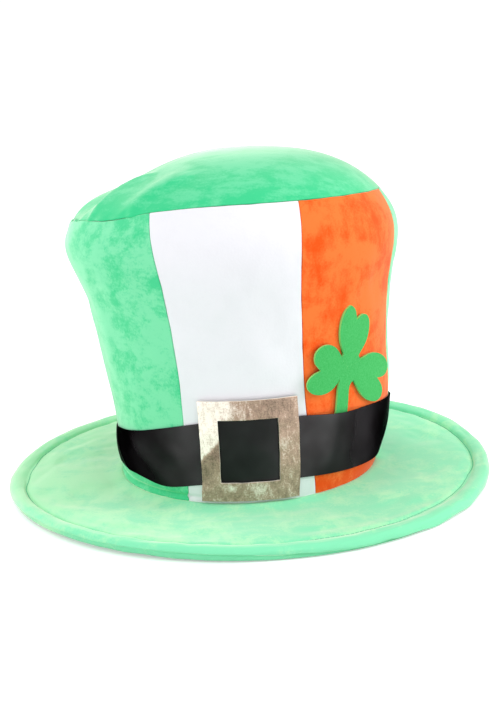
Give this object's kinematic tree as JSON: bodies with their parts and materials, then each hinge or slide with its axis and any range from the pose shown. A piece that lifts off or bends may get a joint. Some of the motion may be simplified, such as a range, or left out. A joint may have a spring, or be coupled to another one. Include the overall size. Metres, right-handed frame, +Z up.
{
  "type": "costume top hat",
  "caption": "Plush costume top hat: flared hollow crown of green, white and orange velour panels, domed tip, padded stitched brim, ribbon band with square buckle and felt shamrock.",
  "frame": {"origin": "on the floor, under the middle of the brim", "axes": "+Z up through the crown, -Y towards the front with the buckle, +X towards the shamrock's side"},
  "size_m": [0.3606, 0.3744, 0.2438],
  "materials": {
    "green_velour": "soft velour nap",
    "white_velour": "soft velour nap",
    "orange_velour": "soft velour nap",
    "black_satin": "satin ribbon",
    "gold_foil_cloth": "creased metallic foil cloth",
    "green_felt": "pressed felt"
  },
  "bodies": {
    "root": {"brim_under": "green_velour", "brim_top": "green_velour", "crown_side_green": "green_velour", "crown_front_white": "white_velour", "crown_front_orange": "orange_velour", "crown_tip": "green_velour", "hat_band": "black_satin", "buckle": "gold_foil_cloth", "shamrock": "green_felt"}
  },
  "joints": []
}
